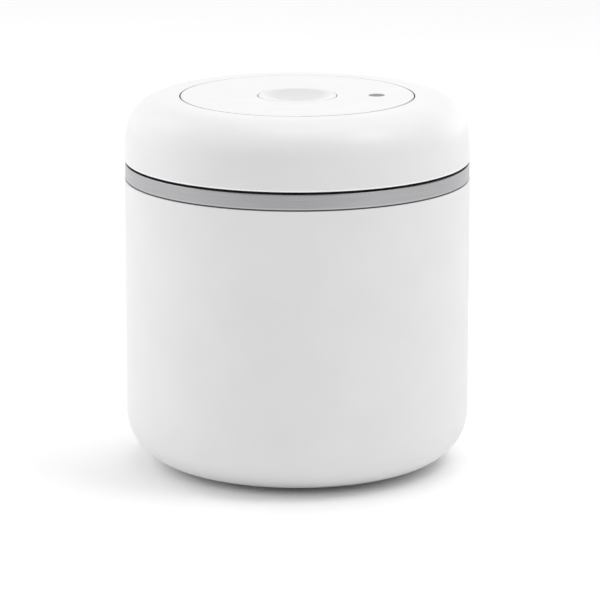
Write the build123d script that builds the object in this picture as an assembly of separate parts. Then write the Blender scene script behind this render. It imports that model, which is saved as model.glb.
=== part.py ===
from build123d import *
import math
import os

# A round steel food canister with a twist-to-pump vacuum lid, closed.
# Millimetres, +Z up, the origin on the floor under the middle of the base.
# The pump is the same front and back, turned half round.

# Overall form
total_height = 135.0
body_radius = 62.5
lid_rise = 23.3
seam_gap = 0.6
band_height = 5.4
band_line = 0.5

# Cutting and fitting allowances
overrun = 1.0
match = 0.01
running_clearance = 0.08
seat_clearance = 0.05
glide_gap = 0.1

# Painted steel shell
shell_wall = 0.9
foot_corner_radius = 18.0
foot_crown_radius = 90.0
foot_crown_turn = 9.0
base_lift = 0.6
base_flat_width = 2.25
base_panel_rise = 1.0
shell_rim_round = 0.25

# Silicone foot ring in the base panel
foot_ring_width = 11.0
foot_ring_round = 0.4

# Bare steel collar at the mouth
collar_wall = 1.0
collar_inset = 0.25
collar_neck_inset = 0.5
mouth_inset = 4.9
mouth_lip_depth = 12.0
spigot_depth = 8.0
collar_round = 0.4
mouth_round = 0.6

# Outer lid ring, whose section is three arcs and a flat top
ring_wall = 2.2
ring_side_radius = 75.0
ring_side_turn = 9.0
ring_crown_radius = 18.3
ring_crown_turn = 15.0
ring_top_width = 20.0
ring_foot_round = 0.5
ring_boss_inset = 4.2
ring_boss_radius = 3.4
ring_boss_angle = 20.0
ring_hem_depth = 4.0
ring_hem_wall = 1.4

# Fixed disc in the top of the lid
disc_groove = 0.4
disc_thickness = 2.4
disc_edge_round = 0.25
disc_rib_depth = 4.0
disc_rib_width = 1.4
disc_rib_count = 9
disc_hem_inset = 1.5
disc_post_offset = 3.6
disc_post_radius = 3.5
disc_post_shoulder = 5.0
disc_post_angle = 60.0
disc_post_count = 3

# Release button, whose radius is a share of the disc's
button_share = 0.3373
button_gap = 0.2
button_height = 9.0
button_wall = 1.4
button_crown = 2.8
button_dish_depth = 1.3
button_rim_width = 1.2
button_edge_round = 0.3
button_boss_radius = 3.3
button_boss_height = 7.5
button_socket_depth = 6.0
button_travel = 3.0
button_guide_wall = 1.4
button_guide_depth = 13.0

# Release valve on the button's stem
stem_radius = 1.5
stem_fit = 0.02
stem_bore_radius = 2.2
stem_tail = 0.8
seal_radius = 5.5
seal_thickness = 2.0
seal_lip_width = 1.0
seal_lip_drop = 0.6
clip_radius = 3.0
clip_thickness = 0.7
clip_slot = 1.6

# Vacuum indicator
indicator_radius = 2.92
indicator_recess = 0.25
indicator_spring_length = 8.25
indicator_stem_radius = 1.4
indicator_guide_wall = 1.2
indicator_seat_thickness = 1.5
indicator_travel = 1.5
indicator_pipe_radius = 3.2
indicator_pipe_bore = 1.6
diaphragm_margin = 1.4
diaphragm_thickness = 0.6
diaphragm_cup_wall = 2.2
diaphragm_cup_spare = 1.4

# Fixed core of the lid, a deep cup that holds the pump
core_gap = 1.6
core_wall = 1.8
core_floor = 2.2
core_corner_round = 4.0
core_flange_thickness = 2.0
core_flange_clearance = 0.4
core_boss_inset = 4.2
core_boss_radius = 3.2
core_boss_count = 4
core_boss_angle = 45.0
core_tube_radius = 5.0
core_tube_foot_radius = 7.5
core_tube_above_plate = 0.9
core_tube_tip_clearance = 0.3
core_tube_tip_height = 2.0

# Main gasket between lid and collar
gasket_flange_thickness = 1.2
gasket_flange_inset = 0.2
gasket_sleeve_wall = 0.85
gasket_sleeve_depth = 9.0
gasket_mouth_clearance = 0.3
gasket_lip_half = 0.6
gasket_lip_count = 3

# Low-friction ring under the drive plate
glide_thickness = 0.7
glide_width = 4.4
glide_inset = 0.5

# Drive plate that joins the ring to the pinion
plate_thickness = 2.0
plate_inset = 0.4
window_clearance = 0.6
window_web = 1.7
twist_travel = 70.0
window_spare = 1.0
hub_hex_radius = 7.2

# Rack and pinion, whose module is a share of the room inside the caps and their screws
pump_margin = 14.2
module_share = 0.025
pinion_teeth = 20
hex_sides = 6
pressure_angle = 20.0
addendum_share = 1.0
dedendum_share = 1.25
tooth_backlash = 0.12
pinion_face = 7.0
pinion_hub_radius = 7.5
pinion_flange_gap = 2.5
pinion_flange_thickness = 2.0
rack_height = 6.0
rack_back = 4.2
rack_engaged = 5.0
rack_guide_wall = 2.0
rack_guide_length = 26.0
rack_guide_gap = 0.2

# Pump cylinders, pistons and end caps, with shares of the same room
beside_share = 0.1
bore_share = 0.2625
pinion_gap_share = 0.1
cylinder_wall = 1.6
cylinder_foot_height = 3.7
cylinder_foot_width = 15.0
cylinder_foot_length = 3.0
cylinder_foot_inset = 4.6
piston_inset = 2.5
piston_thickness = 5.0
piston_clearance = 0.3
piston_end_gap = 1.2
piston_groove_width = 2.2
piston_groove_depth = 1.4
piston_seal_clearance = 0.1
cap_thickness = 4.6
cap_gasket_thickness = 0.6
cap_nozzle_radius = 2.2
cap_nozzle_bore = 1.2
cap_ear_radius = 3.1
cap_ear_reach = 1.8
cap_ear_length = 6.0
valve_disc_radius = 3.2
valve_disc_thickness = 0.7
valve_stem_radius = 0.9
valve_stem_length = 2.0
valve_vent_radius = 0.5
valve_vent_circle = 1.9
valve_vent_count = 4
valve_rise_share = 0.43

# Pump deck over the cylinders
deck_drop = 6.2
deck_thickness = 2.5
deck_headroom = 2.9
deck_saddle_width = 3.0
deck_saddle_length = 14.0
deck_hole_clearance = 0.5

# Cover and filter under the core
filter_inset = 2.0
filter_wall = 1.4
filter_plenum = 1.8
filter_cup_radius = 10.2
filter_window_radius = 7.0
filter_bar_width = 1.0
filter_mesh_thickness = 0.4
filter_mesh_clearance = 0.3
filter_valve_gap = 0.4
filter_edge_round = 0.6

# Springs
button_wire = 0.4
button_coils = 7
indicator_wire = 0.25
indicator_coils = 6

# Screws
screw_radius = 1.5
screw_length = 9.0
screw_head_radius = 2.8
screw_head_height = 1.9
screw_socket_radius = 1.4
screw_socket_depth = 1.1
screw_hole_clearance = 0.3

# Angles
right_angle = 90.0
half_turn = 180.0
full_turn = 360.0

# Radii and lengths that follow from the sizes above
shell_inner_radius = body_radius - shell_wall
foot_crown_shift = (foot_crown_radius - foot_corner_radius) * math.sin(math.radians(foot_crown_turn))
foot_crown_circle = body_radius - foot_corner_radius - foot_crown_shift
base_panel_radius = foot_crown_circle - base_flat_width
collar_radius = body_radius - collar_inset
mouth_radius = body_radius - mouth_inset
ring_inner_radius = body_radius - ring_wall
ring_hole_radius = body_radius - ring_top_width
disc_radius = ring_hole_radius - disc_groove
button_radius = disc_radius * button_share
flange_radius = ring_inner_radius - core_flange_clearance
core_radius = mouth_radius - core_gap
core_inner_radius = core_radius - core_wall
core_boss_circle = core_inner_radius - core_boss_inset
ring_boss_circle = core_inner_radius - ring_boss_inset
plate_radius = ring_inner_radius - plate_inset
filter_radius = core_radius - core_corner_round - filter_inset
button_well_radius = button_radius + button_gap
disc_post_circle = button_well_radius + disc_post_offset
indicator_bore = indicator_radius + running_clearance
indicator_guide_radius = indicator_bore + indicator_guide_wall
disc_window_edge = disc_post_circle + disc_post_radius + window_clearance
indicator_circle = disc_window_edge + window_web + window_clearance + indicator_guide_radius
diaphragm_radius = indicator_guide_radius + diaphragm_margin
diaphragm_cup_height = indicator_travel + diaphragm_cup_spare
button_coil_radius = core_tube_radius - button_wire
indicator_coil_radius = (indicator_stem_radius + indicator_bore) / 2
core_tube_tip_radius = button_coil_radius - button_wire - core_tube_tip_clearance
pinion_flange_radius = disc_post_circle - disc_post_radius - pinion_flange_gap
pump_room = core_inner_radius - pump_margin
gear_module = pump_room * module_share
pitch_radius = gear_module * pinion_teeth / 2
tooth_pitch = math.pi * gear_module
addendum = gear_module * addendum_share
dedendum = gear_module * dedendum_share
stroke = pitch_radius * math.radians(twist_travel)
cylinder_bore = pump_room * bore_share
cylinder_outer = cylinder_bore + cylinder_wall
cylinder_offset = pitch_radius + pump_room * beside_share
cylinder_start = pitch_radius + addendum + pump_room * pinion_gap_share
valve_rise = cylinder_bore * valve_rise_share
piston_rest = cylinder_start + piston_inset
cylinder_end = piston_rest + piston_thickness + stroke + piston_end_gap
cap_start = cylinder_end + cap_gasket_thickness
cap_end = cap_start + cap_thickness
rack_root = pitch_radius + dedendum
rack_outer = rack_root + rack_back
rack_start = -stroke - rack_engaged

# Heights that follow
seam_height = total_height - lid_rise
collar_top = seam_height - seam_gap
band_bottom = collar_top - band_height
shell_top = band_bottom - band_line
base_panel_height = base_lift + base_panel_rise
flange_bottom = collar_top + gasket_flange_thickness
flange_top = flange_bottom + core_flange_thickness
glide_top = flange_top + glide_thickness
plate_bottom = glide_top + glide_gap
plate_top = plate_bottom + plate_thickness
tube_top = plate_top + core_tube_above_plate
disc_bottom = total_height - disc_thickness
deck_top = seam_height - deck_drop
deck_bottom = deck_top - deck_thickness
pump_height = deck_bottom - deck_headroom - cylinder_outer
pinion_bottom = pump_height - pinion_face / 2
inlet_height = pump_height - valve_rise
exhaust_height = pump_height + valve_rise
core_floor_top = pump_height - cylinder_outer - cylinder_foot_height
core_bottom = core_floor_top - core_floor
diaphragm_bottom = deck_top + diaphragm_cup_height
diaphragm_top = diaphragm_bottom + diaphragm_thickness
guide_seat_top = diaphragm_top + indicator_seat_thickness
indicator_top = total_height - indicator_recess
indicator_head_bottom = guide_seat_top + indicator_spring_length
button_ceiling = total_height - button_crown
seal_bottom = core_bottom - seal_thickness
clip_bottom = seal_bottom - clip_thickness
stem_bottom = clip_bottom - stem_tail
filter_mesh_top = stem_bottom - button_travel - filter_valve_gap
filter_cup_floor = filter_mesh_top - filter_mesh_thickness
filter_cup_bottom = filter_cup_floor - filter_wall
filter_underside = core_bottom - filter_plenum - filter_wall


def polar(radius, angle):
    """A point in plan at this radius and angle in degrees."""
    turn = math.radians(angle)
    return radius * math.cos(turn), radius * math.sin(turn)


def cylinder(radius, bottom, top, x=0, y=0):
    """An upright cylinder between two heights."""
    return Pos(x, y, bottom) * extrude(Circle(radius), top - bottom)


def tube(outer, inner, bottom, top, x=0, y=0):
    """An upright tube between two heights."""
    return cylinder(outer, bottom, top, x, y) - cylinder(inner, bottom - overrun, top + overrun, x, y)


def block(x_low, x_high, y_low, y_high, z_low, z_high):
    """A box given by its low and high faces."""
    corner = (Align.MIN, Align.MIN, Align.MIN)
    return Pos(x_low, y_low, z_low) * Box(x_high - x_low, y_high - y_low, z_high - z_low, align=corner)


def rod(radius, y_low, y_high, x, z):
    """A cylinder along Y."""
    lying = Rot(X=-right_angle) * extrude(Circle(radius), y_high - y_low)
    return Pos(x, y_low, z) * lying


def lathe(points):
    """A solid turned about Z from a closed outline of (radius, height) points."""
    outline = Polyline([(radius, 0, height) for radius, height in points], close=True)
    return revolve(make_face(outline), Axis.Z)


def section_arc(centre, radius, start, end):
    """An arc in the section plane, between two angles in degrees from the radial direction."""
    middle = (start + end) / 2
    ends = []
    for angle in (start, middle, end):
        across, up = polar(radius, angle)
        ends.append((centre[0] + across, 0, centre[1] + up))
    return ThreePointArc(*ends)


def close_section(arcs, corners):
    """A solid turned about Z from joined arcs, closed by straight lines through the corners."""
    first, last = arcs[0] @ 0, arcs[-1] @ 1
    points = [last] + [Vector(radius, 0, height) for radius, height in corners] + [first]
    pairs = [pair for pair in zip(points, points[1:]) if (pair[1] - pair[0]).length > match]
    return revolve(make_face(list(arcs) + [Line(*pair) for pair in pairs]), Axis.Z)


def rims(part, radius, height):
    """The circular edges of this radius about Z at this height."""
    found = []
    for edge in part.edges().filter_by(GeomType.CIRCLE):
        centre = edge.arc_center
        on_axis = math.hypot(centre.X, centre.Y) < match
        if on_axis and abs(edge.radius - radius) < match and abs(centre.Z - height) < match:
            found.append(edge)
    return found


def around(part, count):
    """Copies of a part spaced evenly about Z."""
    return [Rot(Z=full_turn * index / count) * part for index in range(count)]


def half_round(part):
    """The copy of a part for the other side of the pump."""
    return Rot(Z=half_turn) * part


def both_sides(part):
    """A part and its copy half round, as two solids."""
    return [part, half_round(part)]


# Body

def shell_form(inset, top):
    """The body's outer form, moved in by an inset, up to a height."""
    corner_end = -(right_angle - foot_crown_turn)
    slope = math.radians(-corner_end)
    corner_height = (
        base_lift + foot_corner_radius * math.sin(slope)
        + foot_crown_radius * (1 - math.sin(slope))
    )
    corner_centre = (body_radius - foot_corner_radius, corner_height)
    crown_centre = (foot_crown_circle, base_lift + foot_crown_radius)
    arcs = [
        section_arc(corner_centre, foot_corner_radius - inset, 0, corner_end),
        section_arc(crown_centre, foot_crown_radius - inset, corner_end, -right_angle),
    ]
    step = base_panel_radius + inset
    corners = [
        (step, base_lift + inset),
        (step, base_panel_height + inset),
        (0, base_panel_height + inset),
        (0, top),
        (body_radius - inset, top),
    ]
    return close_section(arcs, corners)


def make_canister_shell():
    shell = shell_form(0, shell_top) - shell_form(shell_wall, shell_top + overrun)
    edges = rims(shell, body_radius, shell_top)
    return fillet(edges, shell_rim_round)


def make_rim_collar():
    neck_radius = body_radius - collar_neck_inset
    spigot_radius = shell_inner_radius - seat_clearance
    spigot_bottom = shell_top - spigot_depth
    lip_outer = mouth_radius + collar_wall
    lip_bottom = collar_top - mouth_lip_depth
    under_top = collar_top - collar_wall
    collar = lathe([
        (mouth_radius, collar_top),
        (collar_radius, collar_top),
        (collar_radius, band_bottom),
        (neck_radius, band_bottom),
        (neck_radius, shell_top),
        (spigot_radius, shell_top),
        (spigot_radius, spigot_bottom),
        (spigot_radius - collar_wall, spigot_bottom),
        (spigot_radius - collar_wall, under_top),
        (lip_outer, under_top),
        (lip_outer, lip_bottom),
        (mouth_radius, lip_bottom),
    ])
    collar = fillet(rims(collar, collar_radius, collar_top), collar_round)
    return fillet(rims(collar, mouth_radius, collar_top), mouth_round)


def make_foot_ring():
    outer = base_panel_radius - seat_clearance
    ring = tube(outer, outer - foot_ring_width, 0, base_panel_height)
    return fillet(rims(ring, outer, 0), foot_ring_round)


# Outer ring of the lid

def ring_form(inset, bottom):
    """The lid's outer form, moved in by an inset, down to a height."""
    side = math.radians(ring_side_turn)
    crown = math.radians(ring_crown_turn)
    corner_rise = lid_rise - ring_side_radius * math.sin(side) - ring_crown_radius * (1 - math.cos(crown))
    corner_radius = corner_rise / (math.cos(crown) - math.sin(side))
    corner_end = right_angle - ring_crown_turn
    side_centre = (body_radius - ring_side_radius, seam_height)
    side_shift = ring_side_radius - corner_radius
    corner_centre = (
        side_centre[0] + side_shift * math.cos(side),
        side_centre[1] + side_shift * math.sin(side),
    )
    crown_shift = ring_crown_radius - corner_radius
    crown_centre = (
        corner_centre[0] - crown_shift * math.sin(crown),
        corner_centre[1] - crown_shift * math.cos(crown),
    )
    arcs = [
        section_arc(side_centre, ring_side_radius - inset, 0, ring_side_turn),
        section_arc(corner_centre, corner_radius - inset, ring_side_turn, corner_end),
        section_arc(crown_centre, ring_crown_radius - inset, corner_end, right_angle),
    ]
    corners = [(0, total_height - inset), (0, bottom), (body_radius - inset, bottom)]
    return close_section(arcs, corners)


def ring_boss():
    """One screw boss, its top trimmed to lie inside the lid's wall."""
    x, y = polar(ring_boss_circle, ring_boss_angle)
    blank = cylinder(ring_boss_radius, plate_top, total_height, x, y)
    return blank & ring_form(ring_wall / 2, seam_height - overrun)


def ring_screw_hole():
    x, y = polar(ring_boss_circle, ring_boss_angle)
    return cylinder(screw_radius + seat_clearance, plate_top - overrun, plate_bottom + screw_length, x, y)


def make_twist_ring():
    below = seam_height - overrun
    under_top = total_height - ring_wall
    ring = ring_form(0, seam_height) - ring_form(ring_wall, below)
    hem = tube(ring_hole_radius + ring_hem_wall, ring_hole_radius, under_top - ring_hem_depth, under_top)
    ring += hem
    ring -= cylinder(ring_hole_radius, below, total_height + overrun)
    for boss in around(ring_boss(), core_boss_count):
        ring += boss
    for hole in around(ring_screw_hole(), core_boss_count):
        ring -= hole
    ring = fillet(rims(ring, body_radius, seam_height), ring_foot_round)
    return fillet(rims(ring, ring_hole_radius, total_height), disc_edge_round)


def window(circle, post_radius, angle):
    """An arc slot that lets a fixed post through while the plate turns."""
    turn = twist_travel + 2 * window_spare
    centreline = CenterArc((0, 0), circle, angle + window_spare - turn, turn)
    slot = SlotArc(centreline, 2 * (post_radius + window_clearance))
    return Pos(0, 0, plate_bottom - overrun) * extrude(slot, plate_thickness + 2 * overrun)


def make_drive_plate():
    plate = cylinder(plate_radius, plate_bottom, plate_top)
    socket = RegularPolygon(hub_hex_radius + seat_clearance, hex_sides)
    plate -= Pos(0, 0, plate_bottom - overrun) * extrude(socket, plate_thickness + 2 * overrun)
    for index in range(disc_post_count):
        angle = disc_post_angle + full_turn * index / disc_post_count
        plate -= window(disc_post_circle, disc_post_radius, angle)
    plate -= window(indicator_circle, indicator_guide_radius, 0)
    x, y = polar(ring_boss_circle, ring_boss_angle)
    hole_radius = screw_radius + screw_hole_clearance
    hole = cylinder(hole_radius, plate_bottom - overrun, plate_top + overrun, x, y)
    for copy in around(hole, core_boss_count):
        plate -= copy
    return plate


# Rack and pinion

def involute(angle):
    """The involute function of an angle in radians."""
    return math.tan(angle) - angle


def flank_point(radius, side):
    """A point on one flank of the pinion tooth that points along +X."""
    base_radius = pitch_radius * math.cos(math.radians(pressure_angle))
    reach = max(radius, base_radius)
    half_tooth = (tooth_pitch - tooth_backlash) / (4 * pitch_radius)
    turn = half_tooth + involute(math.radians(pressure_angle)) - involute(math.acos(base_radius / reach))
    return radius * math.cos(turn), side * radius * math.sin(turn)


def pinion_outline():
    """The toothed face: involute flanks, each an arc through three of its points."""
    base_radius = pitch_radius * math.cos(math.radians(pressure_angle))
    root_radius = pitch_radius - dedendum
    tip_radius = pitch_radius + addendum
    middle_radius = (base_radius + tip_radius) / 2
    lower = [flank_point(radius, -1) for radius in (root_radius, base_radius, middle_radius, tip_radius)]
    upper = [(x, -y) for x, y in reversed(lower)]
    tooth_turn = full_turn / pinion_teeth
    next_x, next_y = tuple(Vector(*lower[0]).rotate(Axis.Z, tooth_turn))[:2]
    root_middle = polar(root_radius, tooth_turn / 2)
    tooth = [
        Line(lower[0], lower[1]),
        ThreePointArc(lower[1], lower[2], lower[3]),
        ThreePointArc(lower[3], (tip_radius, 0), upper[0]),
        ThreePointArc(upper[0], upper[1], upper[2]),
        Line(upper[2], upper[3]),
        ThreePointArc(upper[3], root_middle, (next_x, next_y)),
    ]
    edges = []
    for index in range(pinion_teeth):
        edges += [Rot(Z=tooth_turn * index) * edge for edge in tooth]
    return make_face(edges)


def make_drive_pinion():
    toothed = Pos(0, 0, pinion_bottom) * extrude(pinion_outline(), pinion_face)
    flange_low = plate_bottom - pinion_flange_thickness
    hub = cylinder(pinion_hub_radius, pinion_bottom + pinion_face, flange_low)
    flange = cylinder(pinion_flange_radius, flange_low, plate_bottom)
    key = Pos(0, 0, plate_bottom) * extrude(RegularPolygon(hub_hex_radius, hex_sides), plate_thickness)
    bore = cylinder(core_tube_radius + running_clearance, pinion_bottom - overrun, plate_top + overrun)
    return toothed + hub + flange + key - bore


def rack_teeth():
    """The rack's toothed edge as (x, y) points, from its low end to its high end."""
    lean = math.tan(math.radians(pressure_angle))
    half_width = (tooth_pitch - tooth_backlash) / 4
    tip_half = half_width - addendum * lean
    root_half = half_width + dedendum * lean
    first = math.ceil((rack_start + root_half) / tooth_pitch - 1 / 2)
    last = math.floor((rack_engaged - root_half) / tooth_pitch - 1 / 2)
    points = []
    for index in range(first, last + 1):
        middle = (index + 1 / 2) * tooth_pitch
        points += [
            (rack_root, middle - root_half),
            (pitch_radius - addendum, middle - tip_half),
            (pitch_radius - addendum, middle + tip_half),
            (rack_root, middle + root_half),
        ]
    return points


def make_piston():
    """The back piston: a rack along Y with its head in the cylinder."""
    outline = [(rack_outer, rack_start), (rack_root, rack_start)] + rack_teeth()
    outline += [(rack_root, piston_rest), (rack_outer, piston_rest)]
    bar = extrude(make_face(Polyline(outline, close=True)), rack_height)
    rack = Pos(0, 0, pump_height - rack_height / 2) * bar
    head_radius = cylinder_bore - piston_clearance
    piston_end = piston_rest + piston_thickness
    head = rod(head_radius, piston_rest, piston_end, cylinder_offset, pump_height)
    middle = piston_rest + piston_thickness / 2
    low, high = middle - piston_groove_width / 2, middle + piston_groove_width / 2
    groove = rod(head_radius + overrun, low, high, cylinder_offset, pump_height)
    groove -= rod(head_radius - piston_groove_depth, low, high, cylinder_offset, pump_height)
    return rack + head - groove


def make_piston_seal():
    middle = piston_rest + piston_thickness / 2
    low, high = middle - piston_groove_width / 2, middle + piston_groove_width / 2
    inner = cylinder_bore - piston_clearance - piston_groove_depth
    seal = rod(cylinder_bore - piston_seal_clearance, low, high, cylinder_offset, pump_height)
    return seal - rod(inner, low - overrun, high + overrun, cylinder_offset, pump_height)


# Pump cylinders and their ends

def ear_places():
    reach = cylinder_outer + cap_ear_reach
    return [cylinder_offset - reach, cylinder_offset + reach]


def make_cylinder():
    """The back cylinder, on two feet, with an ear each side for the cap's screws."""
    body = rod(cylinder_outer, cylinder_start, cylinder_end, cylinder_offset, pump_height)
    half_foot = cylinder_foot_width / 2
    near = cylinder_start + cylinder_foot_inset
    far = cylinder_end - cylinder_foot_inset - cylinder_foot_length
    for start in (near, far):
        body += block(
            cylinder_offset - half_foot, cylinder_offset + half_foot,
            start, start + cylinder_foot_length,
            core_floor_top, pump_height,
        )
    for x in ear_places():
        body += rod(cap_ear_radius, cylinder_end - cap_ear_length, cylinder_end, x, pump_height)
    open_end = cylinder_end + overrun
    body -= rod(cylinder_bore, cylinder_start - overrun, open_end, cylinder_offset, pump_height)
    hole_start = cap_end - screw_length - screw_radius
    for x in ear_places():
        body -= rod(screw_radius + seat_clearance, hole_start, open_end, x, pump_height)
    return body


def vent_ring(y_low, y_high, z):
    """Small vents round a valve's stem."""
    vents = []
    for index in range(valve_vent_count):
        across, up = polar(valve_vent_circle, right_angle / 2 + full_turn * index / valve_vent_count)
        vents.append(rod(valve_vent_radius, y_low, y_high, cylinder_offset + across, z + up))
    return vents


def make_cylinder_cap():
    """The back end cap, with its intake nozzle down to the core's floor."""
    cap = rod(cylinder_outer, cap_start, cap_end, cylinder_offset, pump_height)
    for x in ear_places():
        cap += rod(cap_ear_radius, cap_start, cap_end, x, pump_height)
    middle = (cap_start + cap_end) / 2
    nozzle_top = inlet_height + valve_vent_circle
    cap += cylinder(cap_nozzle_radius, core_bottom, inlet_height, cylinder_offset, middle)
    cap -= cylinder(cap_nozzle_bore, core_bottom - overrun, nozzle_top, cylinder_offset, middle)
    screw_hole = screw_radius + screw_hole_clearance
    for x in ear_places():
        cap -= rod(screw_hole, cap_start - overrun, cap_end + overrun, x, pump_height)
    stem_hole = valve_stem_radius + seat_clearance
    exhaust_stem = cap_end - valve_stem_length
    inlet_stem = cap_start + valve_stem_length
    cap -= rod(stem_hole, exhaust_stem, cap_end + overrun, cylinder_offset, exhaust_height)
    cap -= rod(stem_hole, cap_start - overrun, inlet_stem, cylinder_offset, inlet_height)
    for vent in vent_ring(cap_start - overrun, cap_end + overrun, exhaust_height):
        cap -= vent
    for vent in vent_ring(cap_start - overrun, middle, inlet_height):
        cap -= vent
    return cap


def make_inlet_valve():
    low = cap_start - valve_disc_thickness
    high = cap_start + valve_stem_length
    disc = rod(valve_disc_radius, low, cap_start, cylinder_offset, inlet_height)
    return disc + rod(valve_stem_radius, cap_start, high, cylinder_offset, inlet_height)


def make_exhaust_valve():
    low = cap_end - valve_stem_length
    high = cap_end + valve_disc_thickness
    disc = rod(valve_disc_radius, cap_end, high, cylinder_offset, exhaust_height)
    return disc + rod(valve_stem_radius, low, cap_end, cylinder_offset, exhaust_height)


def make_cap_gasket():
    low, high = cylinder_end - overrun, cap_start + overrun
    gasket = rod(cylinder_outer, cylinder_end, cap_start, cylinder_offset, pump_height)
    return gasket - rod(cylinder_bore, low, high, cylinder_offset, pump_height)


# Fixed core of the lid

def core_tube():
    """The stepped tube up the middle: the pinion's bearing, the stem's bore and the spring's seat."""
    tube_part = cylinder(core_tube_foot_radius, core_floor_top - match, pinion_bottom - glide_gap)
    tube_part += cylinder(core_tube_radius, core_floor_top, tube_top)
    return tube_part + cylinder(core_tube_tip_radius, tube_top, tube_top + core_tube_tip_height)


def rack_guide():
    """The wall that backs the back piston's rack."""
    low = rack_outer + rack_guide_gap
    start = cylinder_start - rack_guide_gap - rack_guide_length
    end = cylinder_start - rack_guide_gap
    top = pump_height + rack_height / 2
    return block(low, low + rack_guide_wall, start, end, core_floor_top - match, top)


def make_core_housing():
    core = lathe([
        (0, core_bottom),
        (core_radius, core_bottom),
        (core_radius, flange_bottom),
        (flange_radius, flange_bottom),
        (flange_radius, flange_top),
        (core_inner_radius, flange_top),
        (core_inner_radius, core_floor_top),
        (0, core_floor_top),
    ])
    core = fillet(rims(core, core_radius, core_bottom), core_corner_round)
    core += core_tube()
    x, y = polar(core_boss_circle, core_boss_angle)
    solid_boss = cylinder(core_boss_radius, core_floor_top - match, deck_bottom, x, y)
    for boss in around(solid_boss, core_boss_count):
        core += boss
    pilot_bottom = deck_top - screw_length - screw_radius
    pilot = cylinder(screw_radius + seat_clearance, pilot_bottom, deck_top, x, y)
    for hole in around(pilot, core_boss_count):
        core -= hole
    core += cylinder(indicator_pipe_radius, core_floor_top - match, deck_bottom, indicator_circle)
    core -= cylinder(indicator_pipe_bore, core_bottom - overrun, deck_top, indicator_circle)
    for guide in both_sides(rack_guide()):
        core += guide
    core -= cylinder(stem_bore_radius, core_bottom - overrun, total_height)
    nozzle_y = (cap_start + cap_end) / 2
    socket = cylinder(
        cap_nozzle_radius + seat_clearance, core_bottom - overrun, core_floor_top + overrun,
        cylinder_offset, nozzle_y,
    )
    for hole in both_sides(socket):
        core -= hole
    return core


def make_main_gasket():
    inner = core_radius + seat_clearance
    sleeve = inner + gasket_sleeve_wall
    sleeve_bottom = collar_top - gasket_sleeve_depth
    points = [
        (inner, flange_bottom),
        (flange_radius - gasket_flange_inset, flange_bottom),
        (flange_radius - gasket_flange_inset, collar_top),
        (sleeve, collar_top),
    ]
    for index in range(gasket_lip_count):
        middle = collar_top - gasket_sleeve_depth * (index + 1) / (gasket_lip_count + 1)
        points += [
            (sleeve, middle + gasket_lip_half),
            (mouth_radius - gasket_mouth_clearance, middle),
            (sleeve, middle - gasket_lip_half),
        ]
    points += [(sleeve, sleeve_bottom), (inner, sleeve_bottom)]
    return lathe(points)


def make_glide_ring():
    outer = flange_radius - glide_inset
    return tube(outer, outer - glide_width, flange_top, glide_top)


def deck_saddle(start):
    """A rib under the deck that holds the back cylinder down."""
    half = deck_saddle_length / 2
    rib = block(
        cylinder_offset - half, cylinder_offset + half,
        start, start + deck_saddle_width,
        pump_height, deck_bottom,
    )
    seat = cylinder_outer + seat_clearance
    low, high = start - overrun, start + deck_saddle_width + overrun
    return rib - rod(seat, low, high, cylinder_offset, pump_height)


def make_pump_deck():
    deck = cylinder(core_inner_radius - seat_clearance, deck_bottom, deck_top)
    near = cylinder_start + cylinder_foot_inset
    far = cylinder_end - cap_ear_length - deck_saddle_width
    for start in (near, far):
        for saddle in both_sides(deck_saddle(start)):
            deck += saddle
    deck += tube(
        diaphragm_radius, diaphragm_radius - diaphragm_cup_wall,
        deck_top - match, diaphragm_bottom, indicator_circle,
    )
    deck -= cylinder(pinion_hub_radius + deck_hole_clearance, deck_bottom - overrun, deck_top + overrun)
    deck -= cylinder(indicator_pipe_bore, deck_bottom - overrun, deck_top + overrun, indicator_circle)
    clearance_hole = screw_radius + screw_hole_clearance
    x, y = polar(core_boss_circle, core_boss_angle)
    hole = cylinder(clearance_hole, deck_bottom - overrun, deck_top + overrun, x, y)
    for copy in around(hole, core_boss_count):
        deck -= copy
    x, y = polar(disc_post_circle, disc_post_angle)
    hole = cylinder(clearance_hole, deck_bottom - overrun, deck_top + overrun, x, y)
    for copy in around(hole, disc_post_count):
        deck -= copy
    return deck


def disc_post():
    """One of the posts that carry the disc, with a shoulder over the turning plate."""
    x, y = polar(disc_post_circle, disc_post_angle)
    post = cylinder(disc_post_radius, deck_top, plate_top + glide_gap, x, y)
    return post + cylinder(disc_post_shoulder, plate_top + glide_gap, disc_bottom, x, y)


def make_top_disc():
    disc = cylinder(disc_radius, disc_bottom, total_height)
    hem_outer = disc_radius - disc_hem_inset
    rib_bottom = disc_bottom - disc_rib_depth
    disc += tube(hem_outer, hem_outer - disc_rib_width, rib_bottom, disc_bottom)
    half = disc_rib_width / 2
    rib = block(button_well_radius, hem_outer - half, -half, half, rib_bottom, disc_bottom)
    for copy in around(rib, disc_rib_count):
        disc += copy
    guide_bottom = total_height - button_guide_depth
    disc += cylinder(button_well_radius + button_guide_wall, guide_bottom, disc_bottom)
    for post in around(disc_post(), disc_post_count):
        disc += post
    disc += cylinder(indicator_guide_radius, diaphragm_top, disc_bottom, indicator_circle)
    disc -= cylinder(button_well_radius, plate_top + glide_gap, total_height + overrun)
    disc -= cylinder(indicator_bore, guide_seat_top, total_height + overrun, indicator_circle)
    disc -= cylinder(
        indicator_stem_radius + running_clearance, diaphragm_top - overrun, total_height, indicator_circle
    )
    x, y = polar(disc_post_circle, disc_post_angle)
    pilot = cylinder(screw_radius + seat_clearance, deck_top - overrun, deck_bottom + screw_length, x, y)
    for hole in around(pilot, disc_post_count):
        disc -= hole
    disc = fillet(rims(disc, disc_radius, total_height), disc_edge_round)
    return fillet(rims(disc, button_well_radius, total_height), disc_edge_round)


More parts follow.
